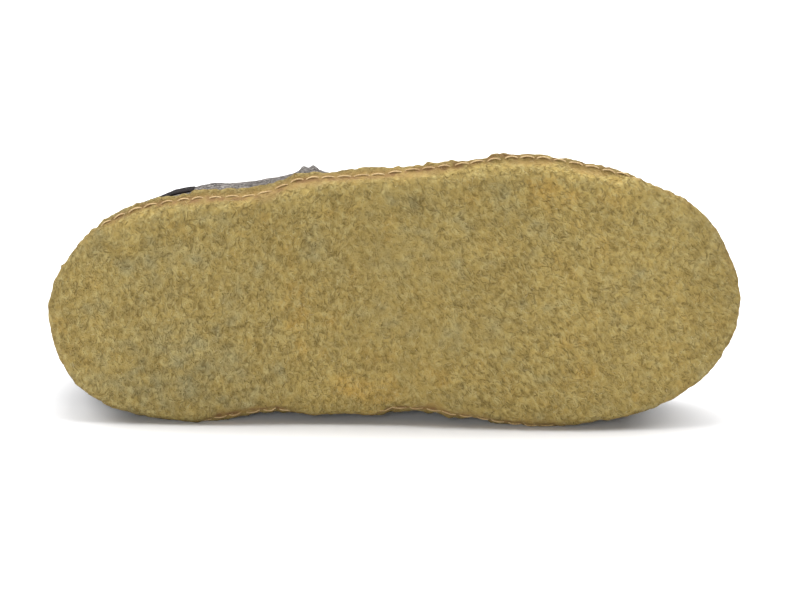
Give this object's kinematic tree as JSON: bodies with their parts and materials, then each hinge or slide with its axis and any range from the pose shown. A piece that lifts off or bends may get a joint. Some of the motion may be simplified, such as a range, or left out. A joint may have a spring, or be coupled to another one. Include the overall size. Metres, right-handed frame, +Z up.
{
  "type": "felt slipper",
  "caption": "Right felt house slipper lying on its inner side: hollow wool felt upper with side seams, stitched lip, latex-coated felt sole, insole and dark heel patch.",
  "frame": {"origin": "middle of the bounding box, on the floor that the shoe lies on", "axes": "+X from the heel to the toe, +Z up; the sole faces -Y and the collar +Y, with the inner side of the shoe down"},
  "size_m": [0.26, 0.0764, 0.1022],
  "materials": {
    "latex_felt": "khaki natural latex soaked into felt, nubbly and matte",
    "grey_felt": "heathered grey wool felt, matte and fuzzy",
    "insole_felt": "pale grey wool felt, matte",
    "dark_felt": "near-black felt, matte"
  },
  "bodies": {
    "root": {"sole": "latex_felt", "upper": "grey_felt", "insole": "insole_felt", "heel_patch": "dark_felt"}
  },
  "joints": []
}
